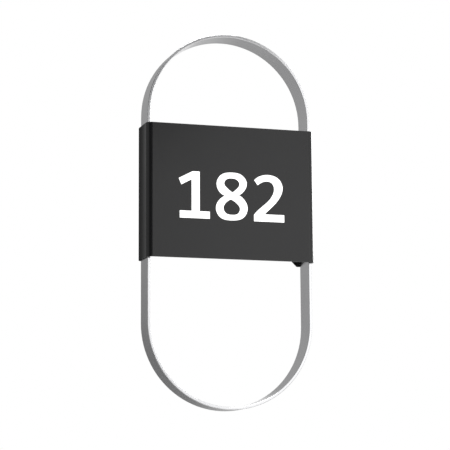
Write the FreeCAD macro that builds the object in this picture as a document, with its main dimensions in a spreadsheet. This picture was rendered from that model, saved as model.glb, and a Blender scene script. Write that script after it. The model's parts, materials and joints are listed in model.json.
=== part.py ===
"""Room number wall light: a flat bar loop that carries a folded cover with lit numerals.

Lengths are in millimetres. +X is to the right as seen from the front, +Y goes into the wall and
+Z is up. The origin is the centre of the wall bracket's back, on the face of the wall, and the
cover is centred on it in X and Z.
"""
import FreeCAD, Part
import Sketcher
import math
import os
import re

# Driving dimensions, copied into the sheet. Depths are counted from the wall towards the room.
SIZES = {
    # loop: one flat bar on edge, bent to an obround ring
    "loop_width": 180,
    "loop_height": 399.3,
    "loop_depth": 27,
    "loop_bar": 3,
    "loop_edge_round": 0.5,
    "loop_drop": 27.4,
    # cover: a folded sleeve that the loop's legs run through
    "leg_gap": 0.5,
    "cover_height": 141.5,
    "cover_depth": 39,
    "cover_sheet": 1.5,
    "cover_bend": 6,
    "cover_rear_bend": 5,
    "cover_gap": 1,
    "lip_width": 20,
    "mitre_inset": 7,
    "mitre_height": 13,
    "mitre_round": 2,
    # numerals, cut through the cover's face and filled flush
    "numeral_height": 49.7,
    "numeral_pitch": 41.1,
    "numeral_drop": 4.2,
    "numeral_gap": 0.1,
    # diffuser behind the numerals, held on welded studs
    "diffuser_height": 76,
    "diffuser_sheet": 2,
    "stud_inset": 6,
    "stud_radius": 1.5,
    "stud_length": 5,
    "stud_gap": 0.3,
    "clip_radius": 4,
    "clip_sheet": 0.8,
    # gear tray between the loop's legs
    "tray_end_gap": 11.75,
    "tray_depth": 19,
    "tray_sheet": 1.2,
    "tray_bend": 2.4,
    "window_width": 84,
    "window_top_gap": 3,
    "window_bottom_gap": 5,
    "window_bush_gap": 2,
    "window_round": 4,
    # lid of the tray, which also carries the light source
    "lid_sheet": 1.2,
    "lid_gap": 0.5,
    "lid_round": 3,
    "post_inset": 8,
    "post_radius": 3.2,
    "lead_hole_inset": 17,
    "lead_hole_gap": 7.2,
    "lead_hole_radius": 4,
    "lead_bush_flange": 1.5,
    "lead_bush_sheet": 1,
    "lead_bush_bore": 2.5,
    # light source
    "board_side_gap": 12,
    "board_height": 70,
    "board_sheet": 1.6,
    "board_round": 3,
    "board_screw_inset": 4,
    "chip_width": 2.8,
    "chip_height": 3.5,
    "chip_thickness": 0.7,
    "chip_pitch_across": 14,
    "chip_pitch_up": 18,
    "plug_width": 10,
    "plug_height": 6,
    "plug_thickness": 5,
    "plug_inset": 21,
    "plug_drop": 4.8,
    # driver
    "driver_end_gap": 18,
    "driver_height": 30,
    "driver_thickness": 15.5,
    "driver_inset": 25,
    "driver_round": 1.5,
    "cap_length": 9,
    "ear_length": 8,
    "ear_height": 14,
    "ear_sheet": 2.5,
    "cap_entry_radius": 3,
    "cap_entry_depth": 6,
    # wall bracket
    "bracket_width": 100,
    "bracket_depth": 16,
    "bracket_sheet": 1.5,
    "bracket_bend": 3,
    "bracket_gap": 1,
    "wall_slot_span": 60.3,
    "wall_slot_length": 12,
    "wall_slot_radius": 2.25,
    "cable_hole_radius": 11,
    "bush_bore": 8,
    "bush_flange": 2.5,
    "bush_flange_sheet": 2,
    "bush_round": 0.8,
    # supply terminal with a lever for each core
    "terminal_height": 18,
    "terminal_thickness": 10,
    "terminal_side": 7,
    "terminal_offset": 4.5,
    "pole_pitch": 8.4,
    "pole_wall": 1.8,
    "lever_gap": 0.3,
    "lever_length": 10,
    "lever_sheet": 2.2,
    "lever_boss": 1.8,
    "lever_pin_radius": 0.9,
    "lever_pin_length": 0.7,
    "lever_pin_gap": 0.1,
    "pivot_rise": 4.5,
    "entry_radius": 1.6,
    "entry_depth": 3,
    # earth stud
    "earth_side": 17,
    "earth_length": 10,
    "washer_radius": 4.5,
    "washer_sheet": 0.8,
    # fasteners: the small screws, the large screws and what they turn in
    "small_screw_radius": 1.5,
    "small_head_radius": 2.8,
    "small_head_height": 1.6,
    "small_nut_radius": 3,
    "small_nut_height": 3,
    "sunk_head_height": 1.3,
    "large_screw_radius": 2,
    "large_head_radius": 3.8,
    "large_head_height": 2.4,
    "large_nut_radius": 3.2,
    "large_nut_height": 4,
    "large_sunk_height": 1.8,
    "large_hex_radius": 4.04,
    "large_hex_height": 3.2,
    "screw_hole_gap": 0.2,
    "thread_gap": 0.05,
    "lid_screw_length": 8,
    "board_screw_length": 3.6,
    "driver_screw_length": 3.6,
    "lip_screw_end_gap": 29,
    "lip_screw_inset": 13,
    "loop_screw_end_gap": 19,
    "loop_screw_depth": 14,
    "lock_span": 70,
    "lock_depth": 10,
    "lock_head_gap": 0.3,
    # every cut runs past the metal by this much
    "overrun": 2,
}

# Sizes that follow from the driving ones, so that pieces that meet stay together when one changes
FOLLOWING_SIZES = {
    "cover_width": "loop_width + 2 * (leg_gap + cover_sheet)",
    "tray_width": "loop_width - 2 * loop_bar",
    "tray_height": "cover_height - 2 * tray_end_gap",
    "board_width": "tray_width - 2 * board_side_gap",
    "diffuser_width": "board_width",
    "driver_length": "tray_width - 2 * (driver_end_gap + ear_length + cap_length)",
    "driver_rise": "tray_height / 2 - driver_inset",
    "ear_side": "driver_length / 2 + cap_length + ear_length / 2",
    "terminal_drop": "tray_height / 4 + terminal_offset",
    "window_top": "max(driver_rise - driver_height / 2 - window_top_gap; "
    "cable_hole_radius + bush_flange + window_bush_gap)",
    "window_bottom": "terminal_drop + terminal_height / 2 + window_bottom_gap",
    "lead_hole_side": "tray_width / 2 - lead_hole_inset",
    "lead_hole_rise": "board_height / 2 - numeral_drop + lead_hole_gap",
    "plug_side": "board_width / 2 - plug_inset",
    "plug_rise": "board_height / 2 - numeral_drop - plug_drop",
    "lip_screw_side": "cover_width / 2 - lip_screw_inset",
    "lip_screw_rise": "tray_height / 2 - lip_screw_end_gap",
    "loop_screw_rise": "tray_height / 2 - loop_screw_end_gap",
    "board_screw_side": "board_width / 2 - board_screw_inset",
    "board_screw_rise": "board_height / 2 - board_screw_inset",
}
CHIP_COLUMNS = 9
CHIP_ROWS = 3
HEX_SIDES = 6
# A share small enough to count as none
NEARLY_NONE = 1e-6
POLES = 3

# Formulas that several pieces share, in the sheet's names
LIP_FRONT = "(cover_gap + cover_sheet)"
FACE_INSIDE = "(cover_gap + cover_depth - cover_sheet)"
DIFFUSER_BACK = "(cover_gap + cover_depth - cover_sheet - diffuser_sheet)"
TRAY_FLOOR = "(cover_gap + cover_sheet + tray_sheet)"
TRAY_FRONT = "(cover_gap + cover_sheet + tray_depth)"
LID_FRONT = "(cover_gap + cover_sheet + tray_depth + lid_sheet)"
BOARD_FRONT = "(cover_gap + cover_sheet + tray_depth + lid_sheet + board_sheet)"
FLANGE_INSIDE = "(tray_height / 2 + bracket_gap)"
FLANGE_OUTSIDE = "(tray_height / 2 + bracket_gap + bracket_sheet)"
SMALL_HOLE = "(small_screw_radius + screw_hole_gap)"
LARGE_HOLE = "(large_screw_radius + screw_hole_gap)"
TERMINAL_WIDTH = f"({POLES} * pole_pitch + pole_wall)"
TERMINAL_FRONT = "(bracket_sheet + terminal_thickness)"
PIVOT_DEPTH = "(bracket_sheet + terminal_thickness - lever_boss)"
PIVOT_DROP = "(terminal_drop + terminal_height / 2 - pivot_rise)"
LEVER_WIDTH = "(pole_pitch - pole_wall - 2 * lever_gap)"

# Numeral outlines as shares of the numeral height, from the numeral's middle and its base line
# Every outline runs clockwise seen from the room, and goes smoothly through the points of a run
ONE_SHARES = [
    (-0.037, 1), (0.12, 1), (0.12, 0.155), (0.34, 0.155), (0.34, 0), (-0.321, 0),
    (-0.321, 0.155), (-0.061, 0.155), (-0.061, 0.823), (-0.285, 0.705), (-0.342, 0.841),
]
# The eight's two lobes and two counters; its stroke crosses, so the left notch sits lower than the right
EIGHT_UPPER_SHARES = [
    (-0.152, 0.508), (-0.295, 0.613), (-0.336, 0.79), (-0.212, 0.97), (0, 1.014),
    (0.215, 0.972), (0.335, 0.795), (0.272, 0.627), (0.155, 0.531),
]
EIGHT_LOWER_SHARES = [
    (0.155, 0.531), (0.294, 0.418), (0.35, 0.251), (0.252, 0.053), (0, -0.014),
    (-0.268, 0.048), (-0.356, 0.246), (-0.292, 0.402), (-0.152, 0.508),
]
UPPER_COUNTER_SHARES = [
    (0.012, 0.587), (-0.122, 0.69), (-0.168, 0.775), (-0.121, 0.86), (0, 0.887),
    (0.121, 0.856), (0.17, 0.773), (0.13, 0.685), (0.012, 0.587),
]
LOWER_COUNTER_SHARES = [
    (-0.022, 0.434), (0.11, 0.352), (0.178, 0.241), (0.129, 0.134), (0, 0.106),
    (-0.131, 0.134), (-0.187, 0.241), (-0.134, 0.36), (-0.022, 0.434),
]
# The two: over the top to the inner corner of the foot, then back up from the foot's left end
TWO_OUTER_SHARES = [
    (-0.331, 0.875), (-0.185, 0.973), (0.01, 1.002), (0.22, 0.926), (0.311, 0.739),
    (0.267, 0.563), (0.181, 0.431), (-0.098, 0.151),
]
TWO_FOOT_SHARES = [(0.34, 0.151), (0.34, -0.01), (-0.34, -0.01), (-0.34, 0.127)]
TWO_INNER_SHARES = [
    (-0.34, 0.127), (-0.024, 0.429), (0.099, 0.613), (0.111, 0.736), (0.053, 0.834), (-0.041, 0.859),
    (-0.147, 0.835), (-0.25, 0.766),
]

RIGHT = FreeCAD.Vector(1, 0, 0)
LEFT = FreeCAD.Vector(-1, 0, 0)
TO_WALL = FreeCAD.Vector(0, 1, 0)
TO_ROOM = FreeCAD.Vector(0, -1, 0)
UP = FreeCAD.Vector(0, 0, 1)
DOWN = FreeCAD.Vector(0, 0, -1)
SIGNS = ("-", "")

doc = FreeCAD.newDocument("room_number_light")
sheet = doc.addObject("Spreadsheet::Sheet", "Sizes")
cells = {alias: str(number) for alias, number in SIZES.items()}
cells.update({alias: f"={text}" for alias, text in FOLLOWING_SIZES.items()})
for row, (alias, content) in enumerate(cells.items(), 1):
    sheet.set(f"A{row}", alias)
    sheet.setAlias(f"B{row}", alias)
    sheet.set(f"B{row}", content)
    doc.recompute()

nodes = []


# Formulas and values

def name_in_sheet(match):
    """One word of a formula, with the sheet's name before it where it is one of the sizes"""
    word = match.group()
    return f"Sizes.{word}" if word in cells else word


def formula(text):
    """A formula in plain size names, as the document reads it"""
    return re.sub(r"[a-z_]+", name_in_sheet, text)


def measure(text):
    """What a formula gives with the present sizes"""
    return float(sheet.evalExpression(formula(text)))


def bind(item, **formulas):
    """Tie an object's properties to formulas"""
    for name, text in formulas.items():
        item.setExpression(name, formula(text))


def place(item, across="0", depth="0", rise="0"):
    """Tie an object's place to formulas, the depth counted from the wall into the room"""
    item.setExpression("Placement.Base.x", formula(across))
    item.setExpression("Placement.Base.y", formula(f"-({depth})"))
    item.setExpression("Placement.Base.z", formula(rise))


def keep(item, label):
    """Name a finished sub-part and put it on the list of those that are written"""
    item.Label = label
    nodes.append(item)
    return item


# Sketches

def sketch_on(body, name, plane, lift="0"):
    """A sketch on one of the body's origin planes, moved along the plane's normal by lift"""
    sketch = body.newObject("Sketcher::SketchObject", name)
    support = next(item for item in body.Origin.OriginFeatures if item.Role == plane)
    sketch.AttachmentSupport = [(support, "")]
    sketch.MapMode = "FlatFace"
    sketch.setExpression("AttachmentOffset.Base.z", formula(lift))
    return sketch


def pin_down(sketch, edge, point, across, along):
    """Tie one point of a sketch to two formulas"""
    for kind, text in (("DistanceX", across), ("DistanceY", along)):
        index = sketch.addConstraint(Sketcher.Constraint(kind, -1, 1, edge, point, measure(text)))
        sketch.setExpression(f"Constraints[{index}]", formula(text))


def set_radius(sketch, edge, radius):
    """Tie the radius of a circle or arc to a formula"""
    index = sketch.addConstraint(Sketcher.Constraint("Radius", edge, measure(radius)))
    sketch.setExpression(f"Constraints[{index}]", formula(radius))


def draw_polygon(sketch, corners):
    """A closed outline through corners given as pairs of formulas"""
    first = sketch.GeometryCount
    count = len(corners)
    points = [FreeCAD.Vector(measure(across), measure(along), 0) for across, along in corners]
    for number in range(count):
        sketch.addGeometry(Part.LineSegment(points[number], points[(number + 1) % count]), False)
    for number, (across, along) in enumerate(corners):
        after = first + (number + 1) % count
        sketch.addConstraint(Sketcher.Constraint("Coincident", first + number, 2, after, 1))
        pin_down(sketch, first + number, 1, across, along)


def draw_rectangle(sketch, left, right, low, high):
    """A rectangle between four formulas"""
    draw_polygon(sketch, [(left, low), (right, low), (right, high), (left, high)])


def draw_centred(sketch, width, height):
    """A rectangle of a width and a height about the sketch's origin"""
    draw_rectangle(sketch, f"-{width} / 2", f"{width} / 2", f"-{height} / 2", f"{height} / 2")


def draw_circle(sketch, across, along, radius):
    """A circle about a point"""
    centre = FreeCAD.Vector(measure(across), measure(along), 0)
    edge = sketch.addGeometry(Part.Circle(centre, UP, measure(radius)), False)
    pin_down(sketch, edge, 3, across, along)
    set_radius(sketch, edge, radius)


def draw_obround(sketch, across, along, reach, radius, upright):
    """Two half circles whose centres lie reach either side of the middle, joined by lines"""
    if upright:
        ends = [(across, f"{along} + {reach}"), (across, f"{along} - {reach}")]
        start = 0
    else:
        ends = [(f"{across} - {reach}", along), (f"{across} + {reach}", along)]
        start = math.pi / 2
    arcs = []
    for turn, (end_across, end_along) in enumerate(ends):
        centre = FreeCAD.Vector(measure(end_across), measure(end_along), 0)
        circle = Part.Circle(centre, UP, measure(radius))
        from_angle = start + turn * math.pi
        arc = Part.ArcOfCircle(circle, from_angle, from_angle + math.pi)
        arcs.append(sketch.addGeometry(arc, False))
        pin_down(sketch, arcs[-1], 3, end_across, end_along)
    set_radius(sketch, arcs[0], radius)
    sketch.addConstraint(Sketcher.Constraint("Equal", arcs[0], arcs[1]))
    for this, other in (arcs, reversed(arcs)):
        leave = sketch.getPoint(this, 2)
        reach_point = sketch.getPoint(other, 1)
        side = sketch.addGeometry(Part.LineSegment(leave, reach_point), False)
        sketch.addConstraint(Sketcher.Constraint("Tangent", this, 2, side, 1))
        sketch.addConstraint(Sketcher.Constraint("Tangent", side, 2, other, 1))


# Features of a body

def new_body(name):
    """An empty body"""
    return doc.addObject("PartDesign::Body", name)


def pad(body, sketch, length, symmetric=False):
    """Push a sketch out along its normal, or to both sides of its plane"""
    feature = body.newObject("PartDesign::Pad", sketch.Name + "_pad")
    feature.Profile = sketch
    feature.Midplane = symmetric
    bind(feature, Length=length)
    doc.recompute()
    return feature


def pocket(body, sketch, length=None, symmetric=False):
    """Cut a sketch out of the body along its normal, or through everything to both sides"""
    before = body.Shape.Volume
    feature = body.newObject("PartDesign::Pocket", sketch.Name + "_pocket")
    feature.Profile = sketch
    if symmetric:
        feature.Type = "ThroughAll"
        feature.Midplane = True
    else:
        feature.Reversed = True
        bind(feature, Length=length)
    doc.recompute()
    if body.Shape.Volume >= before:
        raise ValueError(f"{feature.Name} cuts nothing")
    return feature


def dress(body, kind, name, edges_wanted, **formulas):
    """A fillet or chamfer on the edges of the body that pass a test"""
    base = body.Tip
    edges = [f"Edge{number}" for number, edge in enumerate(base.Shape.Edges, 1) if edges_wanted(edge)]
    feature = body.newObject(f"PartDesign::{kind}", name)
    feature.Base = (base, edges)
    bind(feature, **formulas)
    doc.recompute()
    return feature


def hollow(body, name, sheet_size, faces_wanted):
    """Leave a wall inside the body's faces and open those that pass a test"""
    base = body.Tip
    faces = [f"Face{number}" for number, face in enumerate(base.Shape.Faces, 1) if faces_wanted(face)]
    feature = body.newObject("PartDesign::Thickness", name)
    feature.Base = (base, faces)
    feature.Reversed = True
    bind(feature, Value=sheet_size)
    doc.recompute()
    return feature


def close_to(first, second):
    """Whether two lengths are the same within the modeller's accuracy"""
    return math.isclose(first, second, rel_tol=0, abs_tol=measure("thread_gap") / 2)


def runs_along(edge, axis):
    """Whether a straight edge lies along an axis"""
    if edge.Curve.TypeId != "Part::GeomLine":
        return False
    return edge.Curve.Direction.cross(axis).Length < NEARLY_NONE


def is_circle(edge, radius):
    """Whether an edge is a circle of a given radius"""
    return edge.Curve.TypeId == "Part::GeomCircle" and close_to(edge.Curve.Radius, measure(radius))


# Primitives

def cylinder(name, radius, length, across="0", depth="0", rise="0", direction=UP):
    """A cylinder that runs from a point in a direction"""
    item = doc.addObject("Part::Cylinder", name)
    bind(item, Radius=radius, Height=length)
    item.Placement.Rotation = FreeCAD.Rotation(UP, direction)
    place(item, across, depth, rise)
    return item


def box(name, width, thickness, height, across, depth, rise):
    """A box by its middle in X, its face towards the wall in Y and its middle in Z"""
    item = doc.addObject("Part::Box", name)
    bind(item, Length=width, Width=thickness, Height=height)
    place(item, f"{across} - {width} / 2", f"{depth} + {thickness}", f"{rise} - {height} / 2")
    return item


def cut(name, base, tools):
    """A solid with one or more tools taken out of it"""
    tool = tools[0]
    if len(tools) > 1:
        tool = doc.addObject("Part::MultiFuse", name + "_tools")
        tool.Shapes = tools
    item = doc.addObject("Part::Cut", name)
    item.Base = base
    item.Tool = tool
    return item


def group(label, items):
    """Several separate solids as one sub-part"""
    item = doc.addObject("Part::Compound", label)
    item.Links = items
    return keep(item, label)


def ring(name, outer, bore, length, across, depth, rise, direction):
    """A round piece with a hole through it"""
    spot = (across, depth, rise)
    body = cylinder(name + "_outside", outer, length, *spot, direction)
    hole = cylinder(name + "_bore", bore, length, *spot, direction)
    return cut(name, body, [hole])


def hexagon(name, radius, bore, length, across, depth, rise, direction):
    """A hexagonal piece with a hole through it"""
    prism = doc.addObject("Part::Prism", name + "_outside")
    prism.Polygon = HEX_SIDES
    bind(prism, Circumradius=radius, Height=length)
    prism.Placement.Rotation = FreeCAD.Rotation(UP, direction)
    place(prism, across, depth, rise)
    hole = cylinder(name + "_bore", bore, length, across, depth, rise, direction)
    return cut(name, prism, [hole])


def screw(name, spot, direction, size, length, sunk=False):
    """A screw whose shank starts at a spot: small or large, with a raised or a sunk head"""
    radius = f"({size}_screw_radius - thread_gap)"
    shank = cylinder(name + "_shank", radius, length)
    if sunk:
        height = "sunk_head_height" if size == "small" else "large_sunk_height"
        head = doc.addObject("Part::Cone", name + "_head")
        bind(head, Radius1=f"{size}_head_radius", Radius2=radius, Height=height)
    else:
        height = f"{size}_head_height"
        head = cylinder(name + "_head", f"{size}_head_radius", height, rise=f"-{height}")
    item = doc.addObject("Part::Fuse", name)
    item.Base = shank
    item.Tool = head
    item.Placement.Rotation = FreeCAD.Rotation(UP, direction)
    place(item, *spot)
    return item


def four_corners(across, rise):
    """The four places at plus and minus two distances"""
    return [(f"{side}{across}", f"{level}{rise}") for side in SIGNS for level in SIGNS]


# Numeral outlines

def closed_pairs(shares):
    """Straight runs from each point of an outline to the next, and back to the first"""
    return [[shares[number - 1], shares[number]] for number in range(len(shares))]


def run_points(shares, middle):
    """Shares of the numeral height as points in the plane of the wall"""
    height = measure("numeral_height")
    base_line = -measure("numeral_drop") - height / 2
    points = []
    for across, rise in shares:
        points.append(FreeCAD.Vector(middle + across * height, 0, base_line + rise * height))
    return points


def run_curve(points):
    """A line between two points, or a smooth curve through more"""
    if len(points) == 2:
        return Part.LineSegment(*points)
    curve = Part.BSplineCurve()
    curve.interpolate(points)
    return curve


def run_normals(points):
    """At each point of a run, the direction into an outline that runs clockwise seen from the room"""
    curve = run_curve(points)
    marks = curve.getKnots() if len(points) > 2 else [curve.FirstParameter, curve.LastParameter]
    return [TO_WALL.cross(curve.getD1(mark)[1]).normalize() for mark in marks]


def corner_shift(before, after):
    """How far a corner moves when the two sides that meet there each move in by one"""
    return (before + after) * (1 / (1 + before.dot(after)))


def drawn_in(runs, gap):
    """The runs of a closed outline, all drawn in by a gap"""
    normals = [run_normals(points) for points in runs]
    moved = []
    for number, points in enumerate(runs):
        own = normals[number]
        first = corner_shift(normals[number - 1][-1], own[0])
        last = corner_shift(own[-1], normals[(number + 1) % len(runs)][0])
        shifts = [first] + own[1:-1] + [last]
        moved.append([point + shift * gap for point, shift in zip(points, shifts)])
    return moved


def one_runs():
    """The one: a flag, a stem and a foot"""
    middle = -measure("numeral_pitch")
    return [run_points(pair, middle) for pair in closed_pairs(ONE_SHARES)]


def eight_runs():
    """The eight's outline: two lobes that meet at a sharp waist"""
    return [run_points(shares, 0) for shares in (EIGHT_UPPER_SHARES, EIGHT_LOWER_SHARES)]


def counter_runs():
    """The eight's two closed counters, each one smooth run from its tip at the waist round to the tip"""
    return [[run_points(shares, 0)] for shares in (UPPER_COUNTER_SHARES, LOWER_COUNTER_SHARES)]


def two_runs():
    """The two: a curved neck on a straight foot"""
    shares = [TWO_OUTER_SHARES]
    corners = [TWO_OUTER_SHARES[-1]] + TWO_FOOT_SHARES
    shares += [corners[number:number + 2] for number in range(len(corners) - 1)]
    shares += [TWO_INNER_SHARES, [TWO_INNER_SHARES[-1], TWO_OUTER_SHARES[0]]]
    return [run_points(run, measure("numeral_pitch")) for run in shares]


def numeral_solid(runs, depth_front, thickness):
    """An outline made solid, from a depth towards the wall"""
    face = Part.Face(Part.Wire([run_curve(points).toShape() for points in runs]))
    solid = face.extrude(TO_WALL * thickness)
    solid.translate(TO_ROOM * depth_front)
    return solid


# The loop

def make_loop():
    """The flat bar ring, with a pair of sunk screw holes in each leg"""
    body = new_body("loop")
    straight = "(loop_height - loop_width) / 2"
    outline = sketch_on(body, "loop_outline", "XZ_Plane")
    draw_obround(outline, "0", "0", straight, "loop_width / 2", upright=True)
    draw_obround(outline, "0", "0", straight, "(loop_width / 2 - loop_bar)", upright=True)
    pad(body, outline, "loop_depth", symmetric=True)

    def is_rim(edge):
        return edge.BoundBox.YLength < measure("thread_gap")

    dress(body, "Fillet", "loop_edges", is_rim, Radius="loop_edge_round")
    holes = sketch_on(body, "loop_holes", "YZ_Plane")
    middle = "(cover_gap + cover_depth / 2)"
    for level in SIGNS:
        rise = f"{level}loop_screw_rise + loop_drop"
        draw_circle(holes, f"{middle} - loop_screw_depth", rise, LARGE_HOLE)
    pocket(body, holes, symmetric=True)

    def is_outer_mouth(edge):
        outside = abs(edge.BoundBox.XMin) > measure("loop_width / 2 - thread_gap")
        return is_circle(edge, LARGE_HOLE) and outside

    dress(body, "Chamfer", "loop_sinks", is_outer_mouth, Size="large_sunk_height")
    place(body, "0", middle, "-loop_drop")
    keep(body, "loop_band")


# The cover

def make_cover():
    """The folded sleeve: face, two flanges and two mitred return lips, pierced by the numerals"""
    body = new_body("cover")
    outline = sketch_on(body, "cover_outline", "XY_Plane")
    draw_rectangle(outline, "-cover_width / 2", "cover_width / 2", "-cover_depth", "0")
    pad(body, outline, "cover_height", symmetric=True)

    def is_face_corner(edge):
        return runs_along(edge, UP) and edge.BoundBox.YMax < -measure("cover_depth / 2")

    def is_rear_corner(edge):
        return runs_along(edge, UP) and edge.BoundBox.YMin > -measure("cover_depth / 2")

    dress(body, "Fillet", "cover_bends", is_face_corner, Radius="cover_bend")
    dress(body, "Fillet", "cover_rear_bends", is_rear_corner, Radius="cover_rear_bend")

    def is_end(face):
        return face.BoundBox.ZLength < measure("thread_gap")

    hollow(body, "cover_wall", "cover_sheet", is_end)
    back = sketch_on(body, "cover_back", "XZ_Plane")
    end = "(cover_height / 2 + overrun)"
    inner = "(cover_width / 2 - lip_width)"
    draw_rectangle(back, f"-{inner}", inner, f"-{end}", end)
    pocket(body, back, "cover_sheet + thread_gap")
    mitres = sketch_on(body, "cover_mitres", "XZ_Plane")
    foot = "(cover_width / 2 - mitre_inset)"
    past = "(lip_width - mitre_inset) * overrun / mitre_height"
    for side, level in four_corners("", ""):
        draw_polygon(mitres, [
            (f"{side}({inner} - overrun)", f"{level}{end}"),
            (f"{side}({foot} + {past})", f"{level}{end}"),
            (f"{side}({inner} - {past})", f"{level}(cover_height / 2 - mitre_height - overrun)"),
        ])
    pocket(body, mitres, "cover_sheet + thread_gap")

    def is_mitre_foot(edge):
        across = close_to(abs(edge.BoundBox.Center.x), measure(foot))
        at_end = abs(edge.BoundBox.Center.z) > measure("cover_height / 2 - thread_gap")
        return runs_along(edge, TO_WALL) and across and at_end

    dress(body, "Fillet", "cover_mitre_rounds", is_mitre_foot, Radius="mitre_round")
    holes = sketch_on(body, "cover_holes", "XZ_Plane")
    for across, rise in four_corners("lip_screw_side", "lip_screw_rise"):
        draw_circle(holes, across, rise, SMALL_HOLE)
    pocket(body, holes, "cover_sheet + thread_gap")

    def is_back_mouth(edge):
        at_back = edge.BoundBox.YMax > -measure("thread_gap")
        return is_circle(edge, SMALL_HOLE) and at_back

    dress(body, "Chamfer", "cover_sinks", is_back_mouth, Size="sunk_head_height")
    place(body, "0", "cover_gap")
    doc.recompute()

    tool = doc.addObject("Part::Feature", "numeral_cutter")
    front = measure("cover_gap + cover_depth + overrun")
    depth = measure("cover_sheet + 2 * overrun")
    outlines = (one_runs(), eight_runs(), two_runs())
    tool.Shape = Part.makeCompound([numeral_solid(runs, front, depth) for runs in outlines])
    keep(cut("pierced_cover", body, [tool]), "cover_sleeve")


def make_numerals():
    """The opal numerals, flush in the cover's face, and the eight's two islands"""
    gap = measure("numeral_gap")
    front = measure("cover_gap + cover_depth")
    thickness = measure("cover_sheet")
    solids = {}
    outlines = {"numeral_one": one_runs(), "numeral_eight": eight_runs(), "numeral_two": two_runs()}
    for label, runs in outlines.items():
        solids[label] = numeral_solid(drawn_in(runs, gap), front, thickness)
    counters = [numeral_solid(runs, front, thickness) for runs in counter_runs()]
    solids["numeral_eight"] = solids["numeral_eight"].cut(counters).Solids[0]
    islands = [numeral_solid(drawn_in(runs, gap), front, thickness) for runs in counter_runs()]
    solids["numeral_islands"] = Part.makeCompound(islands)
    for label, solid in solids.items():
        item = doc.addObject("Part::Feature", label)
        item.Shape = solid
        keep(item, label)


def make_diffuser():
    """The opal panel behind the numerals, with its welded studs and push-on clips"""
    body = new_body("diffuser")
    outline = sketch_on(body, "diffuser_outline", "XZ_Plane")
    draw_centred(outline, "diffuser_width", "diffuser_height")
    pad(body, outline, "diffuser_sheet")
    holes = sketch_on(body, "diffuser_holes", "XZ_Plane")
    corners = four_corners("(diffuser_width / 2 - stud_inset)", "(diffuser_height / 2 - stud_inset)")
    for across, rise in corners:
        draw_circle(holes, across, rise, "stud_radius + stud_gap")
    pocket(body, holes, "diffuser_sheet + thread_gap")
    place(body, "0", DIFFUSER_BACK, "-numeral_drop")
    keep(body, "diffuser_panel")
    studs = []
    clips = []
    for number, (across, rise) in enumerate(corners):
        rise = f"{rise} - numeral_drop"
        on_face = (across, FACE_INSIDE, rise)
        studs.append(cylinder(f"stud_{number}", "stud_radius", "stud_length", *on_face, TO_WALL))
        on_panel = (across, DIFFUSER_BACK, rise)
        bore = "stud_radius + thread_gap"
        clips.append(ring(f"clip_{number}", "clip_radius", bore, "clip_sheet", *on_panel, TO_WALL))
    group("cover_studs", studs)
    group("stud_clips", clips)


# The tray and its lid

def make_tray():
    """The folded gear tray, open to the front, with the window over the supply terminal"""
    body = new_body("tray")
    outline = sketch_on(body, "tray_outline", "XZ_Plane")
    draw_centred(outline, "tray_width", "tray_height")
    pad(body, outline, "tray_depth")

    def is_back(edge):
        return edge.BoundBox.YMin > -measure("thread_gap")

    dress(body, "Fillet", "tray_bends", is_back, Radius="tray_bend")

    def is_front(face):
        return face.BoundBox.YMax < -measure("tray_depth - thread_gap")

    hollow(body, "tray_wall", "tray_sheet", is_front)
    openings = sketch_on(body, "tray_openings", "XZ_Plane")
    draw_rectangle(openings, "-window_width / 2", "window_width / 2", "-window_bottom", "window_top")
    pocket(body, openings, "tray_sheet + thread_gap")

    def is_window_corner(edge):
        beside = close_to(abs(edge.BoundBox.Center.x), measure("window_width / 2"))
        return runs_along(edge, TO_WALL) and beside

    dress(body, "Fillet", "window_corners", is_window_corner, Radius="window_round")
    holes = sketch_on(body, "tray_back_holes", "XZ_Plane")
    for across, rise in four_corners("lip_screw_side", "lip_screw_rise"):
        draw_circle(holes, across, rise, SMALL_HOLE)
    for side in SIGNS:
        draw_circle(holes, f"{side}ear_side", "driver_rise", "small_screw_radius")
    pocket(body, holes, "tray_sheet + thread_gap")
    sides = sketch_on(body, "tray_side_holes", "YZ_Plane")
    for level in SIGNS:
        draw_circle(sides, f"{LIP_FRONT} - loop_screw_depth", f"{level}loop_screw_rise", LARGE_HOLE)
    pocket(body, sides, symmetric=True)
    ends = sketch_on(body, "tray_end_holes", "XY_Plane")
    for side in SIGNS:
        draw_circle(ends, f"{side}lock_span / 2", f"{LIP_FRONT} - lock_depth", LARGE_HOLE)
    pocket(body, ends, symmetric=True)
    place(body, "0", LIP_FRONT)
    keep(body, "gear_tray")


def make_tray_nuts():
    """The threaded nuts pressed into the tray: for the sleeve, the loop and the lock screws"""
    lip_nuts = []
    for number, (across, rise) in enumerate(four_corners("lip_screw_side", "lip_screw_rise")):
        lip_nuts.append(ring(
            f"lip_nut_{number}", "small_nut_radius", "small_screw_radius", "small_nut_height",
            across, TRAY_FLOOR, rise, TO_ROOM,
        ))
    group("lip_nuts", lip_nuts)
    side_nuts = []
    for number, (side, level) in enumerate(four_corners("", "")):
        side_nuts.append(ring(
            f"side_nut_{number}", "large_nut_radius", "large_screw_radius", "large_nut_height",
            f"{side}(tray_width / 2 - tray_sheet)", "loop_screw_depth", f"{level}loop_screw_rise",
            RIGHT if side else LEFT,
        ))
    group("side_nuts", side_nuts)
    lock_nuts = []
    for number, (side, level) in enumerate(four_corners("", "")):
        lock_nuts.append(ring(
            f"lock_nut_{number}", "large_nut_radius", "large_screw_radius", "large_nut_height",
            f"{side}lock_span / 2", "lock_depth", f"{level}(tray_height / 2 - tray_sheet)",
            UP if level else DOWN,
        ))
    group("lock_nuts", lock_nuts)


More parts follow.
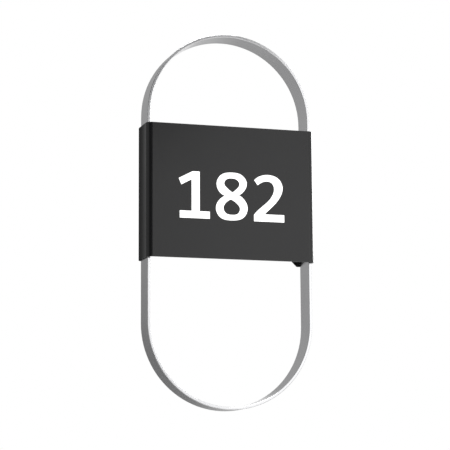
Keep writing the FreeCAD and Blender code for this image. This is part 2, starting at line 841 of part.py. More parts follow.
def make_fixings():
    """The sunk screws through the loop's legs and through the cover's lips"""
    loop_screws = []
    for number, (side, level) in enumerate(four_corners("", "")):
        spot = (f"{side}loop_width / 2", "loop_screw_depth", f"{level}loop_screw_rise")
        length = "(loop_bar + tray_sheet + large_nut_height)"
        direction = RIGHT if side else LEFT
        loop_screws.append(screw(f"loop_screw_{number}", spot, direction, "large", length, sunk=True))
    group("loop_screws", loop_screws)
    lip_screws = []
    for number, (across, rise) in enumerate(four_corners("lip_screw_side", "lip_screw_rise")):
        length = "(cover_sheet + tray_sheet + small_nut_height)"
        spot = (across, "cover_gap", rise)
        lip_screws.append(screw(f"lip_screw_{number}", spot, TO_ROOM, "small", length, sunk=True))
    group("lip_screws", lip_screws)


def make_lid():
    """The lid over the gear, its hexagonal posts and screws, and the bush for the leads"""
    body = new_body("lid")
    outline = sketch_on(body, "lid_outline", "XZ_Plane")
    draw_centred(outline, "(tray_width - 2 * lid_gap)", "tray_height")
    pad(body, outline, "lid_sheet")
    dress(body, "Fillet", "lid_corners", lambda edge: runs_along(edge, TO_WALL), Radius="lid_round")
    holes = sketch_on(body, "lid_holes", "XZ_Plane")
    corners = four_corners("(tray_width / 2 - post_inset)", "(tray_height / 2 - post_inset)")
    for across, rise in corners:
        draw_circle(holes, across, rise, SMALL_HOLE)
    for across, rise in board_corners():
        draw_circle(holes, across, rise, "small_screw_radius")
    draw_circle(holes, "lead_hole_side", "lead_hole_rise", "lead_hole_radius")
    pocket(body, holes, "lid_sheet + thread_gap")
    place(body, "0", TRAY_FRONT)
    keep(body, "tray_lid")
    posts = []
    screws = []
    length = "(tray_depth - tray_sheet)"
    for number, (across, rise) in enumerate(corners):
        spot = (across, TRAY_FLOOR, rise)
        bore = "small_screw_radius"
        posts.append(hexagon(f"post_{number}", "post_radius", bore, length, *spot, TO_ROOM))
        spot = (across, LID_FRONT, rise)
        screws.append(screw(f"lid_screw_{number}", spot, TO_WALL, "small", "lid_screw_length"))
    group("lid_posts", posts)
    group("lid_screws", screws)
    spot = ("lead_hole_side", TRAY_FRONT, "lead_hole_rise")
    inside = cylinder("bush_inside", "lead_hole_radius", "lid_sheet", *spot, TO_ROOM)
    flange_radius = "lead_hole_radius + lead_bush_flange"
    on_lid = ("lead_hole_side", LID_FRONT, "lead_hole_rise")
    flange = cylinder("bush_flange_disc", flange_radius, "lead_bush_sheet", *on_lid, TO_ROOM)
    solid = doc.addObject("Part::Fuse", "bush_solid")
    solid.Base = inside
    solid.Tool = flange
    bore = cylinder("bush_hole", "lead_bush_bore", "lid_sheet + lead_bush_sheet", *spot, TO_ROOM)
    keep(cut("lead_bush_solid", solid, [bore]), "lead_bush")


def board_corners():
    """Where the light source is screwed down"""
    corners = four_corners("board_screw_side", "board_screw_rise")
    return [(across, f"{rise} - numeral_drop") for across, rise in corners]


def make_light_source():
    """The circuit board with its rows of light chips, its screws and its lead socket"""
    body = new_body("board")
    outline = sketch_on(body, "board_outline", "XZ_Plane")
    draw_centred(outline, "board_width", "board_height")
    pad(body, outline, "board_sheet")
    dress(body, "Fillet", "board_corners", lambda edge: runs_along(edge, TO_WALL), Radius="board_round")
    holes = sketch_on(body, "board_holes", "XZ_Plane")
    for across, rise in four_corners("board_screw_side", "board_screw_rise"):
        draw_circle(holes, across, rise, SMALL_HOLE)
    pocket(body, holes, "board_sheet + thread_gap")
    place(body, "0", LID_FRONT, "-numeral_drop")
    keep(body, "led_board")
    chips = []
    for column in range(CHIP_COLUMNS):
        for line in range(CHIP_ROWS):
            across = f"({column} - ({CHIP_COLUMNS} - 1) / 2) * chip_pitch_across"
            rise = f"({line} - ({CHIP_ROWS} - 1) / 2) * chip_pitch_up - numeral_drop"
            spot = (across, BOARD_FRONT, rise)
            name = f"chip_{column}_{line}"
            chips.append(box(name, "chip_width", "chip_thickness", "chip_height", *spot))
    group("led_chips", chips)
    screws = []
    for number, (across, rise) in enumerate(board_corners()):
        spot = (across, BOARD_FRONT, rise)
        screws.append(screw(f"board_screw_{number}", spot, TO_WALL, "small", "board_screw_length"))
    group("board_screws", screws)
    spot = ("plug_side", BOARD_FRONT, "plug_rise")
    keep(box("socket", "plug_width", "plug_thickness", "plug_height", *spot), "board_socket")


# The driver

def make_driver():
    """The driver's case with an end cap at each end, screwed to the tray by the caps' ears"""
    body = new_body("driver")
    outline = sketch_on(body, "driver_outline", "YZ_Plane")
    half = "driver_height / 2"
    draw_rectangle(outline, "-driver_thickness", "0", f"-{half}", half)
    pad(body, outline, "driver_length", symmetric=True)
    dress(body, "Fillet", "driver_corners", lambda edge: runs_along(edge, RIGHT), Radius="driver_round")
    place(body, "0", TRAY_FLOOR, "driver_rise")
    keep(body, "driver_case")
    screws = []
    for side, label in (("-", "driver_input_cap"), ("", "driver_output_cap")):
        cap_spot = (f"{side}(driver_length / 2 + cap_length / 2)", TRAY_FLOOR, "driver_rise")
        block = box(label + "_block", "cap_length", "driver_thickness", "driver_height", *cap_spot)
        ear_spot = (f"{side}ear_side", TRAY_FLOOR, "driver_rise")
        ear = box(label + "_ear", "ear_length", "ear_sheet", "ear_height", *ear_spot)
        solid = doc.addObject("Part::Fuse", label + "_solid")
        solid.Base = block
        solid.Tool = ear
        hole = cylinder(label + "_hole", SMALL_HOLE, "ear_sheet", *ear_spot, TO_ROOM)
        entry_depth = f"{TRAY_FLOOR} + driver_thickness / 2 + ear_sheet / 2"
        end_spot = (f"{side}(driver_length / 2 + cap_length)", entry_depth, "driver_rise")
        direction = RIGHT if side else LEFT
        entry = cylinder(label + "_entry", "cap_entry_radius", "cap_entry_depth", *end_spot, direction)
        keep(cut(label + "_cut", solid, [hole, entry]), label)
        spot = (f"{side}ear_side", f"{TRAY_FLOOR} + ear_sheet", "driver_rise")
        screws.append(screw(label + "_screw", spot, TO_WALL, "small", "driver_screw_length"))
    group("driver_screws", screws)


# The wall bracket and what it carries

def make_bracket():
    """The folded wall bracket: a plate with slots, and two flanges with slots open to the room"""
    body = new_body("bracket")
    outline = sketch_on(body, "bracket_outline", "YZ_Plane")
    draw_polygon(outline, [
        ("0", f"-{FLANGE_OUTSIDE}"),
        ("-bracket_depth", f"-{FLANGE_OUTSIDE}"),
        ("-bracket_depth", f"-{FLANGE_INSIDE}"),
        ("-bracket_sheet", f"-{FLANGE_INSIDE}"),
        ("-bracket_sheet", FLANGE_INSIDE),
        ("-bracket_depth", FLANGE_INSIDE),
        ("-bracket_depth", FLANGE_OUTSIDE),
        ("0", FLANGE_OUTSIDE),
    ])
    pad(body, outline, "bracket_width", symmetric=True)

    def is_outer_bend(edge):
        return runs_along(edge, RIGHT) and close_to(edge.BoundBox.YMax, 0)

    def is_inner_bend(edge):
        on_flange = close_to(abs(edge.BoundBox.ZMin), measure(FLANGE_INSIDE))
        on_plate = close_to(edge.BoundBox.YMax, -measure("bracket_sheet"))
        return runs_along(edge, RIGHT) and on_flange and on_plate

    dress(body, "Fillet", "bracket_outer_bends", is_outer_bend, Radius="bracket_bend")
    dress(body, "Fillet", "bracket_inner_bends", is_inner_bend, Radius="bracket_bend - bracket_sheet")
    holes = sketch_on(body, "bracket_holes", "XZ_Plane")
    draw_circle(holes, "0", "0", "cable_hole_radius")
    reach = "(wall_slot_length / 2 - wall_slot_radius)"
    for side in SIGNS:
        draw_obround(holes, f"{side}wall_slot_span / 2", "0", reach, "wall_slot_radius", upright=False)
    pocket(body, holes, "bracket_sheet + thread_gap")
    notches = sketch_on(body, "bracket_notches", "XY_Plane")
    for side in SIGNS:
        draw_obround(
            notches, f"{side}lock_span / 2", "-bracket_depth", "(bracket_depth - lock_depth)",
            f"{LARGE_HOLE} + thread_gap", upright=True,
        )
    pocket(body, notches, symmetric=True)
    keep(body, "wall_bracket")


def make_grommet():
    """The bush that lines the bracket's cable hole, with a rounded flange on the room side"""
    inside = cylinder("grommet_inside", "cable_hole_radius", "bracket_sheet", direction=TO_ROOM)
    flange = cylinder(
        "grommet_flange", "cable_hole_radius + bush_flange", "bush_flange_sheet",
        depth="bracket_sheet", direction=TO_ROOM,
    )
    solid = doc.addObject("Part::Fuse", "grommet_solid")
    solid.Base = inside
    solid.Tool = flange
    hole = cylinder("grommet_bore", "bush_bore", "bracket_sheet + bush_flange_sheet", direction=TO_ROOM)
    pierced = cut("grommet_pierced", solid, [hole])
    doc.recompute()
    rounded = doc.addObject("Part::Fillet", "grommet_rounded")
    rounded.Base = pierced
    radius = measure("bush_round")
    front = -measure("bracket_sheet + bush_flange_sheet")
    mouths = []
    for number, edge in enumerate(pierced.Shape.Edges, 1):
        if close_to(edge.BoundBox.YMax, front):
            mouths.append((number, radius, radius))
    rounded.Edges = mouths
    keep(rounded, "cable_grommet")


def pole_across(pole):
    """The middle of one pole of the supply terminal"""
    return f"(terminal_side + ({pole} - ({POLES} - 1) / 2) * pole_pitch)"


def make_terminal():
    """The supply terminal's base: a recess for each lever, wire entries and the levers' pivot bore"""
    spot = ("terminal_side", "bracket_sheet", "-terminal_drop")
    base = box("terminal_block", TERMINAL_WIDTH, "terminal_thickness", "terminal_height", *spot)
    recess_depth = "(2 * lever_boss + lever_gap)"
    recess_height = "(lever_boss + lever_length + 2 * lever_gap)"
    bore_length = f"({TERMINAL_WIDTH} - 2 * pole_wall + 2 * lever_pin_length)"
    bore_start = (f"terminal_side - {bore_length} / 2", PIVOT_DEPTH, f"-{PIVOT_DROP}")
    tools = [cylinder("pivot_bore", "lever_pin_radius + lever_pin_gap", bore_length, *bore_start, RIGHT)]
    for pole in range(POLES):
        tools.append(box(
            f"recess_{pole}", "(pole_pitch - pole_wall)", f"({recess_depth} + overrun)", recess_height,
            pole_across(pole), f"({TERMINAL_FRONT} - {recess_depth})",
            f"(-{PIVOT_DROP} - lever_boss - lever_gap + {recess_height} / 2)",
        ))
        tools.append(cylinder(
            f"entry_{pole}", "entry_radius", "terminal_height",
            pole_across(pole), "bracket_sheet + entry_depth", "-terminal_drop - terminal_height / 2", UP,
        ))
    keep(cut("terminal", base, tools), "terminal_base")


def make_lever(pole, label):
    """A terminal lever: a flat finger on a round boss, with a short pivot pin at each side"""
    across = pole_across(pole)
    boss = cylinder(
        label + "_boss", "lever_boss", LEVER_WIDTH,
        f"{across} - {LEVER_WIDTH} / 2", PIVOT_DEPTH, f"-{PIVOT_DROP}", RIGHT,
    )
    finger = box(
        label + "_finger", LEVER_WIDTH, "lever_sheet", "lever_length",
        across, f"({TERMINAL_FRONT} - lever_sheet)", f"(-{PIVOT_DROP} + lever_length / 2)",
    )
    pin_length = f"({LEVER_WIDTH} + 2 * lever_pin_length)"
    pin = cylinder(
        label + "_pin", "lever_pin_radius", pin_length,
        f"{across} - {pin_length} / 2", PIVOT_DEPTH, f"-{PIVOT_DROP}", RIGHT,
    )
    item = doc.addObject("Part::MultiFuse", label)
    item.Shapes = [boss, finger, pin]
    keep(item, label)


def make_earth():
    """The bracket's welded earth stud with its washer and hexagonal nut"""
    spot = ("-earth_side", "bracket_sheet", "-terminal_drop")
    keep(cylinder("stud_of_earth", "large_screw_radius", "earth_length", *spot, TO_ROOM), "earth_stud")
    bore = "large_screw_radius + thread_gap"
    washer = ring("washer_of_earth", "washer_radius", bore, "washer_sheet", *spot, TO_ROOM)
    keep(washer, "earth_washer")
    on_washer = ("-earth_side", "bracket_sheet + washer_sheet", "-terminal_drop")
    nut = hexagon("nut_of_earth", "large_hex_radius", bore, "large_hex_height", *on_washer, TO_ROOM)
    keep(nut, "earth_nut")


def make_lock_screws():
    """The four screws that pass the bracket's open slots into the tray, two above and two below"""
    length = "(lock_head_gap + bracket_sheet + bracket_gap + tray_sheet + large_nut_height)"
    for level, end in (("", "top"), ("-", "bottom")):
        for side, hand in (("-", "left"), ("", "right")):
            head_rise = f"{level}({FLANGE_OUTSIDE} + lock_head_gap)"
            spot = (f"{side}lock_span / 2", "lock_depth", head_rise)
            direction = UP if level else DOWN
            label = f"lock_screw_{end}_{hand}"
            keep(screw(label + "_solid", spot, direction, "large", length), label)


def check_and_write():
    """Stop on any failed object, then write each sub-part to its file"""
    doc.recompute()
    for item in doc.Objects:
        if "Invalid" in item.State or "Error" in item.State:
            raise ValueError(f"{item.Label} failed: {item.State}")
    for item in nodes:
        if item.Shape.isNull() or not item.Shape.isValid() or not item.Shape.Solids:
            raise ValueError(f"{item.Label} has no valid solid")
    os.makedirs("parts", exist_ok=True)
    for item in nodes:
        item.Shape.exportStep(f"parts/{item.Label}.step")
        print(f"{item.Label}: {len(item.Shape.Solids)} solid(s), {item.Shape.Volume:.0f} mm3")


make_loop()
make_cover()
make_numerals()
make_diffuser()
make_tray()
make_tray_nuts()
make_fixings()
make_lid()
make_light_source()
make_driver()
make_bracket()
make_grommet()
make_terminal()
for pole, core in enumerate(("live", "neutral", "earth")):
    make_lever(pole, f"terminal_lever_{core}")
make_earth()
make_lock_screws()
check_and_write()
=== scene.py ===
# %% [markdown]
# A room number wall light
#
# This lesson dresses a room number light for a studio picture. A flat bar bent to a tall loop runs
# through a folded black cover, whose cut-out numerals are lit from behind. The solids come from the
# imported model, so this file is about light, finishes and the small parts that solids leave plain.
#
# The frame is loaded first. It brings every named piece to its real place, in metres, and nothing
# below moves a piece or changes its shape.

# %% Load the imported pieces
import json
import math

import bpy
import numpy as np
from mathutils import Matrix, Quaternion, Vector


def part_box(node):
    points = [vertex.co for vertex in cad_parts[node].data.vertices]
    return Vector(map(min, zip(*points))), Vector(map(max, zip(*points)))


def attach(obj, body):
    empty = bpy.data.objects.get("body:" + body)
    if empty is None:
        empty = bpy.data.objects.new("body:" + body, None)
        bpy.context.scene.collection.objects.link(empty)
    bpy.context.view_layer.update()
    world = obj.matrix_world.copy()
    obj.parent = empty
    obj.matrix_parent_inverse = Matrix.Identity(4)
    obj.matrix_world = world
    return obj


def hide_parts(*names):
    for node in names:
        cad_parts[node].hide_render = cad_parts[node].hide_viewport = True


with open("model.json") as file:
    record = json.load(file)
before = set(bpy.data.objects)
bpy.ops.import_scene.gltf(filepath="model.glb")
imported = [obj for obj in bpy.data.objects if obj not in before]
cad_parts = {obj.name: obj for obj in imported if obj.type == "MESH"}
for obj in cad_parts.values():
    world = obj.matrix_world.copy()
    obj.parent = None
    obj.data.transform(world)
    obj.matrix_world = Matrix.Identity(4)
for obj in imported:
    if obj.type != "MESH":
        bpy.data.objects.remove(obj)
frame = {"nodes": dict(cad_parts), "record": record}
pieces = frame["nodes"]
slot_of = {part["node"]: part["material_slot"] for part in frame["record"]["subparts"]}
colour_of = {entry["slot"]: entry["base_color"] for entry in frame["record"]["materials"]}
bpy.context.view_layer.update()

# %% [markdown]
# The camera of the photograph
#
# A photograph fixes where the camera stood: the sizes that the loop, the cover and their corners
# have in the picture leave one place, one direction and one lens that fit. This one stood far off,
# a little to the left of the light and below it, behind a long lens. The alternative is to move the
# camera by eye, which takes longer and never quite fits. The camera's three axes are worked out from
# the two angles, and turned by the small roll last.

# %% Place the camera
MM = 0.001
PICTURE_WIDTH = 450
SENSOR_WIDTH = 36
photo_focal = 1782.237
photo_azimuth = math.radians(17.561)
photo_elevation = math.radians(-9.148)
photo_roll = math.radians(-0.356)
photo_distance = 1872.551 * MM
photo_offset = (-5.619 * MM, -6.137 * MM)
loop_low, loop_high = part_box("loop_band")
loop_front = Vector((0, loop_low.y, (loop_low.z + loop_high.z) / 2))


def camera_axes(azimuth, elevation, roll):
    """Right, up and back of a camera that looks at the origin from two angles, turned by a roll"""
    back = Vector((
        -math.sin(azimuth) * math.cos(elevation),
        -math.cos(azimuth) * math.cos(elevation),
        math.sin(elevation),
    ))
    right = (-back).cross(Vector((0, 0, 1))).normalized()
    up = right.cross(-back)
    turned_right = right * math.cos(roll) + up * math.sin(roll)
    turned_up = up * math.cos(roll) - right * math.sin(roll)
    return turned_right, turned_up, back


right, up, back = camera_axes(photo_azimuth, photo_elevation, photo_roll)
camera = bpy.data.objects.new("camera", bpy.data.cameras.new("camera"))
camera.data.sensor_width = SENSOR_WIDTH
camera.data.lens = photo_focal / PICTURE_WIDTH * SENSOR_WIDTH
turn = Matrix((right, up, back)).transposed()
spot = loop_front + back * photo_distance + right * photo_offset[0] + up * photo_offset[1]
camera.matrix_world = Matrix.Translation(spot) @ turn.to_4x4()
bpy.context.scene.collection.objects.link(camera)
bpy.context.scene.camera = camera
bpy.context.scene.view_settings.view_transform = "Standard"
print(f"lens {camera.data.lens:.0f} mm, {photo_distance:.2f} m away")

# %% [markdown]
# Nodes built by hand
#
# A world or a material is a tree of nodes. It can be drawn with the mouse, but a script gives the
# same tree on every run, and its numbers are easy to find and change. A few small helpers keep the
# lesson short. One places any node and links what it is given. The others place a sum on numbers, a
# sum on vectors, a distance, a smooth ramp and a piece of noise.

# %% Helpers for nodes
NOISE_LOW, NOISE_HIGH = 0.3, 0.7


def put(tree, kind, inputs=None, **settings):
    """A node with its settings, whose inputs are given as plain values or as sockets to link"""
    node = tree.nodes.new(kind)
    for name, value in settings.items():
        setattr(node, name, value)
    for name, value in (inputs or {}).items():
        if isinstance(value, bpy.types.NodeSocket):
            tree.links.new(value, node.inputs[name])
        else:
            node.inputs[name].default_value = value
    return node


def maths(tree, operation, first, second=0.0):
    """The result of one sum on one or two numbers or sockets"""
    return put(tree, "ShaderNodeMath", {0: first, 1: second}, operation=operation).outputs[0]


def vector_maths(tree, operation, first, second=(0, 0, 0), output="Vector"):
    """The result of one sum on one or two vectors, as a vector or as a plain value"""
    node = put(tree, "ShaderNodeVectorMath", {0: first, 1: second}, operation=operation)
    return node.outputs[output]


def distance_from_axis(tree, first, second):
    """The square root of the sum of two squares"""
    squares = [maths(tree, "POWER", side, 2.0) for side in (first, second)]
    return maths(tree, "SQRT", maths(tree, "ADD", squares[0], squares[1]))


def ramp(tree, value, low, high, to_low=0.0, to_high=1.0):
    """A value carried smoothly from one range to another"""
    inputs = {
        "Value": value, "From Min": low, "From Max": high, "To Min": to_low, "To Max": to_high,
    }
    return put(tree, "ShaderNodeMapRange", inputs, interpolation_type="SMOOTHSTEP").outputs[0]


def noise(tree, point, scale, detail, roughness=0.5):
    """Smooth noise, mostly between the low and the high value above, with some finer octaves"""
    inputs = {"Vector": point, "Scale": scale, "Detail": detail, "Roughness": roughness}
    return put(tree, "ShaderNodeTexNoise", inputs).outputs["Fac"]


# %% [markdown]
# Light from a white studio
#
# The ground of the picture is plain white, so what gives the metal its shape is what it mirrors. The
# front edges of the bar see soft boxes on the right. The side faces see a middling grey behind the
# light, with a dark patch in its middle. Only the lower left of the loop, turned away from the camera,
# mirrors straight into that patch, and so it is the darkest stretch of the bar. The left bend of the
# cover turns past a soft glow on the left and then past the dark beside the camera, which leaves a
# black line down the cover. The right bend turns past a glow right of the camera, as bright as the
# face looks, so no line shows there. A world that depends on the direction does this better than
# lamps alone, because satin metal shows the whole room. Camera rays get plain white, and what a
# surface mirrors close to the camera's own line of sight is the same white backdrop.

# %% Build the world
ROOM_DIMNESS = 0.02
GREY_BEHIND = 0.35
PATCH_DARKNESS = 0.86
world = bpy.data.worlds.new("studio")
bpy.context.scene.world = world
world.use_nodes = True
studio = world.node_tree
sight = put(studio, "ShaderNodeTexCoord").outputs["Generated"]


def facing(direction, start, full):
    """How far a ray's direction lies in a soft cone: its cosine to the axis, ramped up smoothly"""
    along = vector_maths(studio, "DOT_PRODUCT", sight, Vector(direction).normalized(), "Value")
    return ramp(studio, along, start, full)


darkness = maths(studio, "MULTIPLY", facing((-0.01, 0.97, -0.03), 0.948, 0.971), PATCH_DARKNESS)
lit_share = maths(studio, "SUBTRACT", 1.0, darkness)
behind = maths(studio, "MULTIPLY", facing((0, 1, 0), 0.35, 0.8), lit_share)
brightness = maths(studio, "ADD", ROOM_DIMNESS, maths(studio, "MULTIPLY", behind, GREY_BEHIND))
# Direction, cosine where the glow starts, cosine where it is full, and strength
room_glows = {
    "right side": ((1, 0.1, 0), 0.25, 0.9, 0.5),
    "left side": ((-1, 0, 0.05), 0.75, 0.97, 0.5),
    "right of the camera": ((0.8, -0.6, 0.15), 0.84, 0.97, 0.6),
    "ceiling": ((0.1, -0.1, 1), 0.45, 0.9, 0.6),
    "floor": ((0.1, -0.1, -1), 0.45, 0.9, 0.4),
}
for direction, start, full, strength in room_glows.values():
    glow = maths(studio, "MULTIPLY", facing(direction, start, full), strength)
    brightness = maths(studio, "ADD", brightness, glow)

path = put(studio, "ShaderNodeLightPath").outputs
mirrored = maths(studio, "MAXIMUM", path["Is Glossy Ray"], path["Is Transmission Ray"])
backdrop = maths(studio, "MULTIPLY", mirrored, facing(-back, 0.99, 0.997))
white = maths(studio, "MAXIMUM", path["Is Camera Ray"], backdrop)
room = studio.nodes["Background"]
room.inputs["Color"].default_value = (1, 1, 1, 1)
shown = put(studio, "ShaderNodeMix", {"Factor": white, "A": brightness, "B": 1.0})
studio.links.new(shown.outputs["Result"], room.inputs["Strength"])
print("grey behind, and glows:", ", ".join(room_glows))

# %% [markdown]
# Soft boxes
#
# One soft box stands close, to the right of the camera, where the front edges mirror it. It is so
# close that each part of the loop sees another part of it. Its upper side slopes, rising to the right,
# so the front edge is white below and on the right, and fades to grey on the upper left arch. A small,
# weak box above it keeps the top of the arch from turning too dark. A far box high in front gives the
# even light of a studio ceiling, and one behind, on the right, shows the zinc and the white coat at
# the back.

# %% Hang the soft boxes
# Place, width and height in metres, power in watts, and tilt in degrees
lamp_table = {
    "low_box": ((0.343, -0.85, 0.038), (0.57, 0.60), 1.36, 29),
    "arch_box": ((0.21, -0.85, 0.42), (0.16, 0.12), 0.027, 0),
    "top_box": ((0.3, -1.6, 2.2), (1.2, 1.2), 40.0, 0),
    "back_box": ((1.5, 1.3, 0.7), (1.0, 1.0), 22.0, 0),
}
for name, (place, size, power, tilt) in lamp_table.items():
    lamp = bpy.data.objects.new(name, bpy.data.lights.new(name, "AREA"))
    lamp.data.shape = "RECTANGLE"
    lamp.data.size, lamp.data.size_y = size
    lamp.data.energy = power
    lamp.location = place
    lamp.rotation_mode = "QUATERNION"
    aim = (loop_front - Vector(place)).to_track_quat("-Z", "Y")
    lamp.rotation_quaternion = aim @ Quaternion((0, 0, 1), math.radians(tilt))
    bpy.context.scene.collection.objects.link(lamp)
print(f"{len(lamp_table)} soft boxes")

# %% [markdown]
# A floor that fades out
#
# The floor lies well below the light, out of the camera's sight. It is there for the other views,
# where it catches the shadow. A floor of any size ends somewhere, and its edge would show as a line,
# so the paint turns see-through towards the rim, and no hard edge crosses the white ground behind the
# object. How far out a point lies is its distance from the upright axis through the origin.

# %% Lay the floor
FLOOR_DROP = 1.1
FLOOR_REACH = 3.0
FLOOR_LINES = 3
FADE_START, FADE_END = 0.6, 0.95 * FLOOR_REACH


def floor_grid(reach, height, cells):
    """A square grid: x and y run from minus to plus the reach, and z is the height"""
    line = np.linspace(-reach, reach, cells)
    x, y = np.meshgrid(line, line, indexing="ij")
    return np.stack([x, y, np.full_like(x, height)], axis=-1)


def grid_faces(rows, columns, wrap=False):
    """Quads between neighbouring points of a grid, last column joined to the first if it wraps"""
    number = np.arange(rows * columns).reshape(rows, columns)
    after = np.roll(number, -1, axis=1)
    if not wrap:
        number, after = number[:, :-1], after[:, :-1]
    return np.stack([number[:-1], after[:-1], after[1:], number[1:]], axis=-1).reshape(-1, 4)


def make_mesh(name, points, faces, smooth=True):
    """A linked mesh object at the origin, from an array of points and a list of faces"""
    mesh = bpy.data.meshes.new(name)
    mesh.from_pydata(points.reshape(-1, 3).tolist(), [], faces)
    mesh.polygons.foreach_set("use_smooth", np.full(len(mesh.polygons), smooth))
    mesh.update()
    made = bpy.data.objects.new(name, mesh)
    bpy.context.scene.collection.objects.link(made)
    return made


floor_points = floor_grid(FLOOR_REACH, -FLOOR_DROP, FLOOR_LINES)
floor_faces = grid_faces(FLOOR_LINES, FLOOR_LINES).tolist()
floor = make_mesh("floor", floor_points, floor_faces, smooth=False)
floor_paint = bpy.data.materials.new("floor_paint")
floor_paint.use_nodes = True
floor_tree = floor_paint.node_tree
floor_skin = floor_tree.nodes["Principled BSDF"]
floor_skin.inputs["Base Color"].default_value = (0.86, 0.86, 0.85, 1)
floor_skin.inputs["Roughness"].default_value = 0.9
floor_point = put(floor_tree, "ShaderNodeTexCoord").outputs["Object"]
floor_flat = vector_maths(floor_tree, "MULTIPLY", floor_point, (1, 1, 0))
floor_radius = vector_maths(floor_tree, "LENGTH", floor_flat, output="Value")
rim_fade = ramp(floor_tree, floor_radius, FADE_START, FADE_END, 1.0, 0.0)
floor_tree.links.new(rim_fade, floor_skin.inputs["Alpha"])
floor.data.materials.append(floor_paint)
print(f"floor {FLOOR_DROP} m down, fading from {FADE_START} m out")

# %% [markdown]
# Effects that several finishes share
#
# No real surface is one colour. Paint has the fine dimples of orange peel, handling leaves broad
# clouds in the gloss, drawn metal has lines along the bar, and a folded or cut edge is a little
# brighter than the face beside it. Each effect is one node group with its own values per finish,
# which is easier to keep even than the same nodes copied into every material. All of them read
# Object coordinates, so the pattern keeps its real scale and moves with the piece. Dimples and
# clouds are plain noise, so they come first.

# %% Groups for dimples and clouds
VECTOR = "NodeSocketVector"
NUMBER = "NodeSocketFloat"


def new_group(name, inputs, outputs):
    """An empty shader group with typed sockets, and its two end nodes"""
    tree = bpy.data.node_groups.new(name, "ShaderNodeTree")
    for label, kind in inputs.items():
        tree.interface.new_socket(label, in_out="INPUT", socket_type=kind)
    for label, kind in outputs.items():
        tree.interface.new_socket(label, in_out="OUTPUT", socket_type=kind)
    return tree, tree.nodes.new("NodeGroupInput"), tree.nodes.new("NodeGroupOutput")


def peel_group():
    """Two sizes of smooth dimple, the small one on the large one"""
    inputs = {"Point": VECTOR, "Scale": NUMBER}
    tree, given, result = new_group("orange_peel", inputs, {"Height": NUMBER})
    point, scale = given.outputs["Point"], given.outputs["Scale"]
    wide = noise(tree, point, scale, 1.0)
    fine = noise(tree, point, maths(tree, "MULTIPLY", scale, 3.1), 2.0)
    height = maths(tree, "ADD", wide, maths(tree, "MULTIPLY", fine, 0.35))
    tree.links.new(height, result.inputs["Height"])
    return tree


def cloud_group():
    """Broad soft clouds with a little fine grime in them, between two values"""
    inputs = {"Point": VECTOR, "Scale": NUMBER, "Low": NUMBER, "High": NUMBER}
    tree, given, result = new_group("handling_clouds", inputs, {"Value": NUMBER})
    broad = noise(tree, given.outputs["Point"], given.outputs["Scale"], 5.0, 0.62)
    spread = put(tree, "ShaderNodeMapRange", {
        "Value": broad, "From Min": NOISE_LOW, "From Max": NOISE_HIGH,
        "To Min": given.outputs["Low"], "To Max": given.outputs["High"],
    })
    tree.links.new(spread.outputs[0], result.inputs["Value"])
    return tree


groups = {"peel": peel_group(), "clouds": cloud_group()}
print("shared effects:", ", ".join(groups))

# %% [markdown]
# Worn edges
#
# A coat is thinnest, and metal is rubbed brightest, where two faces meet. A bevel node could find
# such places, but it makes the render slower. Most pieces here are close to boxes, so the distance
# to the faces of the piece's own box does the same: a point is at an edge where two of the three
# distances are small. Noise makes the band wider and narrower on its way.

# %% Group for worn edges
def edge_group():
    """Nearness to a box's edges: two of the three distances to its faces have to be small"""
    inputs = {"Point": VECTOR, "Middle": VECTOR, "Half size": VECTOR, "Width": NUMBER}
    tree, given, result = new_group("box_edges", inputs, {"Edge": NUMBER})
    point = given.outputs["Point"]
    reach = vector_maths(
        tree, "ABSOLUTE", vector_maths(tree, "SUBTRACT", point, given.outputs["Middle"]),
    )
    inside = vector_maths(tree, "SUBTRACT", given.outputs["Half size"], reach)
    depth = put(tree, "ShaderNodeSeparateXYZ", {0: inside}).outputs
    wobble = ramp(tree, noise(tree, point, 160.0, 4.0), NOISE_LOW, NOISE_HIGH, 0.4, 1.5)
    width = maths(tree, "MULTIPLY", given.outputs["Width"], wobble)
    near = [ramp(tree, maths(tree, "DIVIDE", depth[axis], width), 1.0, 0.0) for axis in range(3)]
    pairs = [maths(tree, "MULTIPLY", near[axis], near[axis - 1]) for axis in range(3)]
    total = maths(tree, "MAXIMUM", maths(tree, "MAXIMUM", pairs[0], pairs[1]), pairs[2])
    tree.links.new(total, result.inputs["Edge"])
    return tree


groups["edges"] = edge_group()
print("shared effects:", ", ".join(groups))

# %% [markdown]
# Drawn lines, straight and bent
#
# Rolling and drawing leave fine lines, all along one direction. They are noise whose point is
# squeezed along that direction, which pulls the spots out to lines. On the loop the lines have to
# bend with the bar, so a second group first lays the bar out flat: on a leg a point's place is its
# rise, and on an arch the turned angle times the radius is added.

# %% Groups for drawn lines
def line_group():
    """Fine lines drawn out along one direction: noise whose point is squeezed along it"""
    inputs = {"Point": VECTOR, "Stretch": VECTOR, "Scale": NUMBER}
    tree, given, result = new_group("drawn_lines", inputs, {"Height": NUMBER, "Tone": NUMBER})
    scale = given.outputs["Scale"]
    squeezed = vector_maths(tree, "MULTIPLY", given.outputs["Point"], given.outputs["Stretch"])
    coarse = noise(tree, squeezed, maths(tree, "MULTIPLY", scale, 0.22), 2.0)
    tree.links.new(noise(tree, squeezed, scale, 3.0), result.inputs["Height"])
    tree.links.new(ramp(tree, coarse, NOISE_LOW, NOISE_HIGH), result.inputs["Tone"])
    return tree


